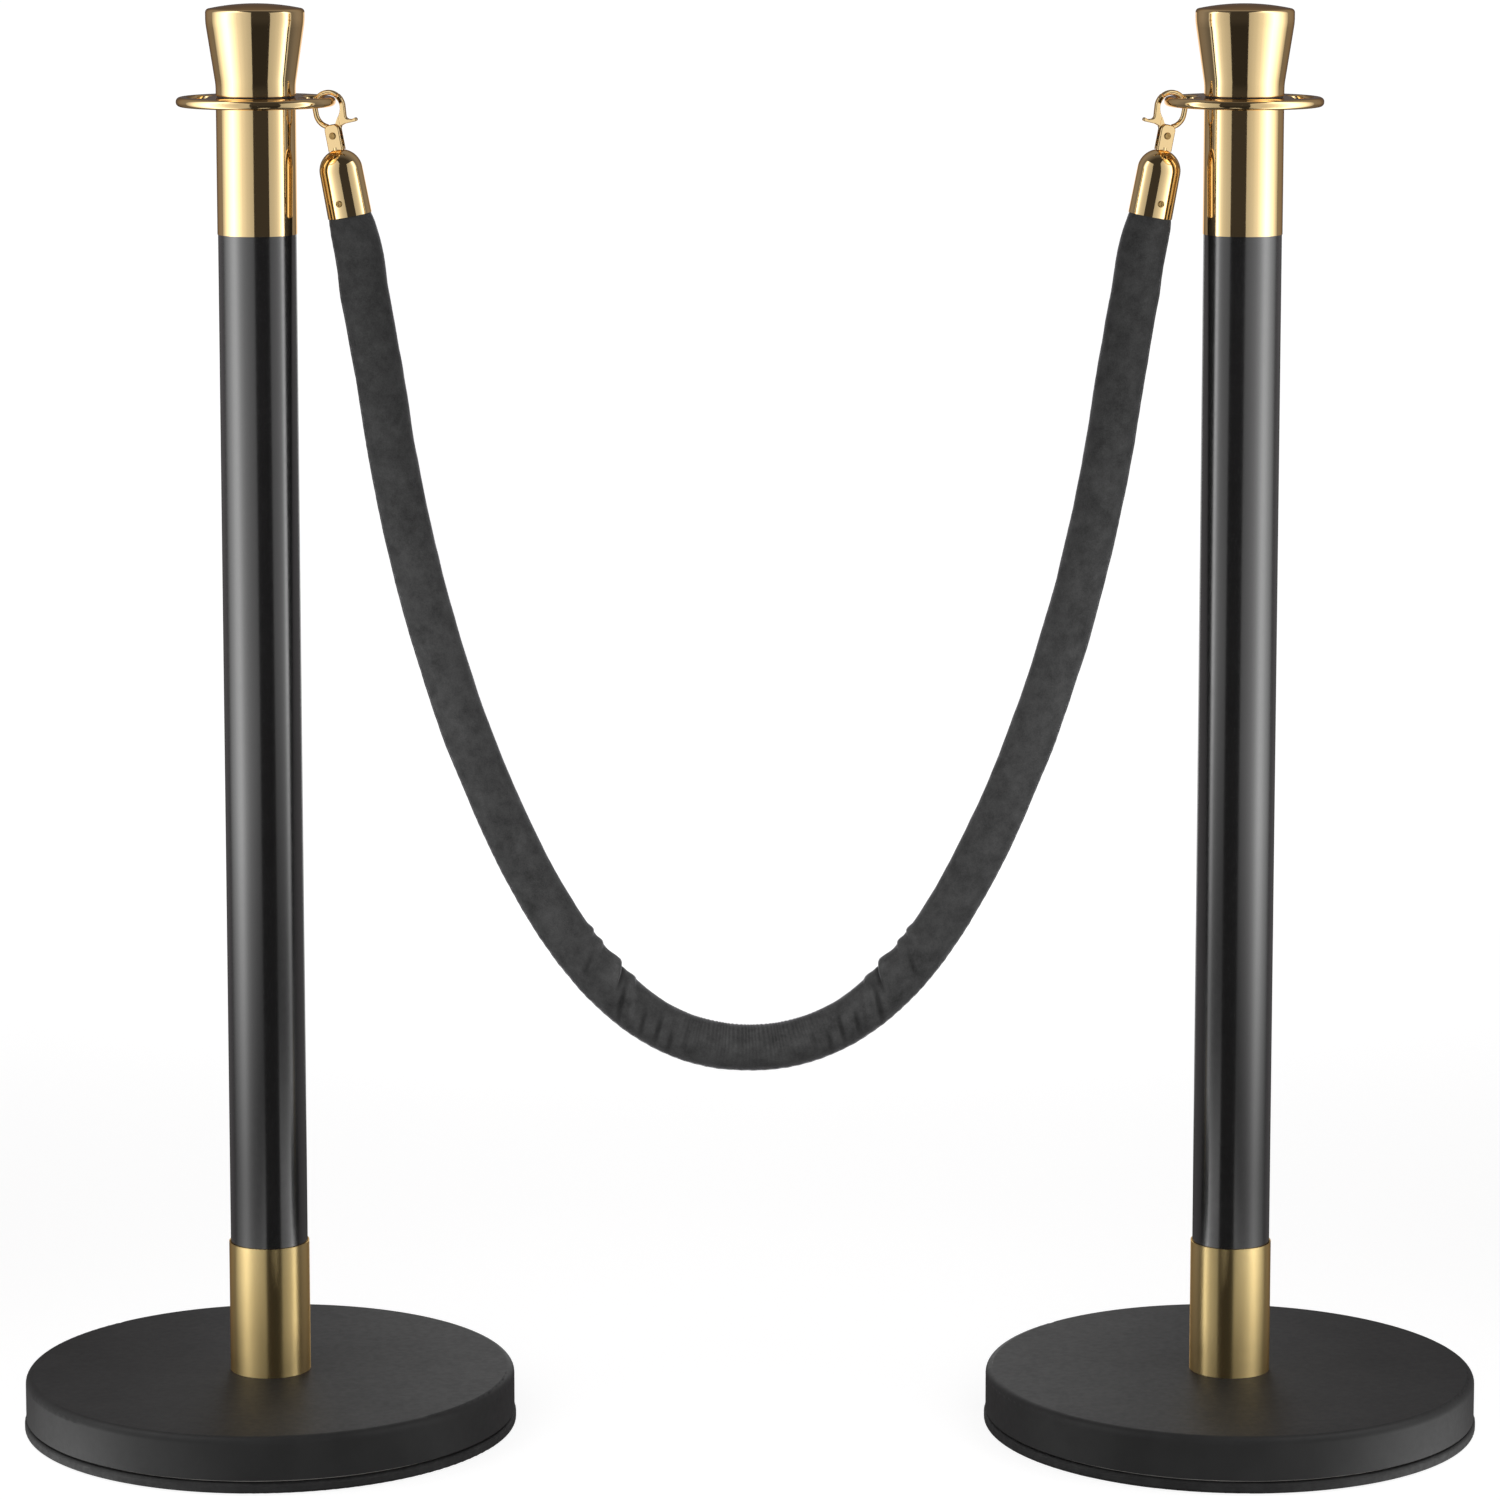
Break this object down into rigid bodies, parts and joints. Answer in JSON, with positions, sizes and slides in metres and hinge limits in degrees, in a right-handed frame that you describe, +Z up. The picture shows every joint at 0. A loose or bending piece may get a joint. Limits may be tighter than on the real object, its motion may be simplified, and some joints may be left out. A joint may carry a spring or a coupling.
{
  "type": "rope barrier post pair",
  "caption": "Pair of free-standing barrier posts with round weighted bases and flared gold heads, joined by a hanging velvet rope with snap hooks.",
  "frame": {"origin": "on the floor, midway between the axes of the two posts", "axes": "+X from the left post to the right post, +Y to the back, +Z up"},
  "size_m": [0.961, 0.325, 0.9383],
  "materials": {
    "polished_gold": "mirror-polished titanium gold plate",
    "satin_gold": "brushed satin gold plate",
    "black_powder_coat": "satin black powder coat",
    "rubber": "matt black rubber",
    "velvet": "charcoal black velvet",
    "rope_fibre": "spun cotton rope",
    "zinc_steel": "zinc-plated steel",
    "cement": "cast cement",
    "plug_wood": "turned beech",
    "nylon": "black nylon"
  },
  "bodies": {
    "posts": {"left_base_cover": "black_powder_coat", "left_base_weight": "cement", "left_foot_ring": "rubber", "left_base_bolt": "zinc_steel", "left_bolt_washer": "zinc_steel", "left_foot_plug": "zinc_steel", "left_post_tube": "black_powder_coat", "left_upper_sleeve": "polished_gold", "left_top_plug": "zinc_steel", "left_top_stud": "zinc_steel", "left_rope_ring": "polished_gold", "right_base_cover": "black_powder_coat", "right_base_weight": "cement", "right_foot_ring": "rubber", "right_base_bolt": "zinc_steel", "right_bolt_washer": "zinc_steel", "right_foot_plug": "zinc_steel", "right_post_tube": "black_powder_coat", "right_upper_sleeve": "polished_gold", "right_top_plug": "zinc_steel", "right_top_stud": "zinc_steel", "right_rope_ring": "polished_gold"},
    "rope": {"rope_core": "rope_fibre", "velvet_sleeve": "velvet", "left_end_cap": "polished_gold", "left_end_plug": "plug_wood", "left_cap_screws": "polished_gold", "right_end_cap": "polished_gold", "right_end_plug": "plug_wood", "right_cap_screws": "polished_gold"},
    "left_hook": {"left_hook_frame": "polished_gold", "left_gate_rivet": "polished_gold", "left_gate_spring": "zinc_steel", "left_swivel_retainer": "zinc_steel"},
    "left_gate": {"left_hook_gate": "polished_gold"},
    "left_collar": {"left_lower_collar": "satin_gold"},
    "left_washer": {"left_finial_washer": "nylon"},
    "left_head": {"left_finial": "polished_gold", "left_finial_insert": "zinc_steel"},
    "right_hook": {"right_hook_frame": "polished_gold", "right_gate_rivet": "polished_gold", "right_gate_spring": "zinc_steel", "right_swivel_retainer": "zinc_steel"},
    "right_gate": {"right_hook_gate": "polished_gold"},
    "right_collar": {"right_lower_collar": "satin_gold"},
    "right_washer": {"right_finial_washer": "nylon"},
    "right_head": {"right_finial": "polished_gold", "right_finial_insert": "zinc_steel"}
  },
  "joints": [
    {"name": "rope_swing", "type": "hinge", "parent": "posts", "child": "rope", "pos_m": [0, 0, 0.88133], "axis": [1, 0, 0], "range_deg": [-27, 27]},
    {"name": "left_hook_swivel", "type": "hinge", "parent": "rope", "child": "left_hook", "pos_m": [-0.26771, 0, 0.85353], "axis": [-0.1811, 0, 0.9835], "range_deg": [0, 36]},
    {"name": "left_gate_hinge", "type": "hinge", "parent": "left_hook", "child": "left_gate", "pos_m": [-0.26771, 0, 0.85353], "axis": [0.3039, 0.9511, 0.056], "range_deg": [0, 30], "stiffness_Nm_per_rad": 0.05, "springref_deg": -14.32, "deforming": ["left_gate_spring"]},
    {"name": "left_collar_slide", "type": "slide", "parent": "posts", "child": "left_collar", "axis": [0, 0, 1], "range_m": [0, 0.666]},
    {"name": "left_finial_turn", "type": "hinge", "parent": "posts", "child": "left_washer", "pos_m": [-0.318, 0, 0.879], "axis": [0, 0, 1], "range_deg": [0, 2160]},
    {"name": "left_finial_lift", "type": "slide", "parent": "left_washer", "child": "left_head", "axis": [0, 0, 1], "range_m": [0, 0.009]},
    {"name": "right_hook_swivel", "type": "hinge", "parent": "rope", "child": "right_hook", "pos_m": [0.26771, 0, 0.85353], "axis": [-0.1811, 0, -0.9835], "range_deg": [0, 36]},
    {"name": "right_gate_hinge", "type": "hinge", "parent": "right_hook", "child": "right_gate", "pos_m": [0.26771, 0, 0.85353], "axis": [0.3039, -0.9511, -0.056], "range_deg": [0, 30], "stiffness_Nm_per_rad": 0.05, "springref_deg": -14.32, "deforming": ["right_gate_spring"]},
    {"name": "right_collar_slide", "type": "slide", "parent": "posts", "child": "right_collar", "axis": [0, 0, 1], "range_m": [0, 0.666]},
    {"name": "right_finial_turn", "type": "hinge", "parent": "posts", "child": "right_washer", "pos_m": [0.318, 0, 0.879], "axis": [0, 0, 1], "range_deg": [0, 2160]},
    {"name": "right_finial_lift", "type": "slide", "parent": "right_washer", "child": "right_head", "axis": [0, 0, 1], "range_m": [0, 0.009]}
  ],
  "couplings": [
    {"joint": "left_finial_lift", "follows": "left_finial_turn", "m_per_rad": 0.00023873},
    {"joint": "right_finial_lift", "follows": "right_finial_turn", "m_per_rad": 0.00023873}
  ]
}
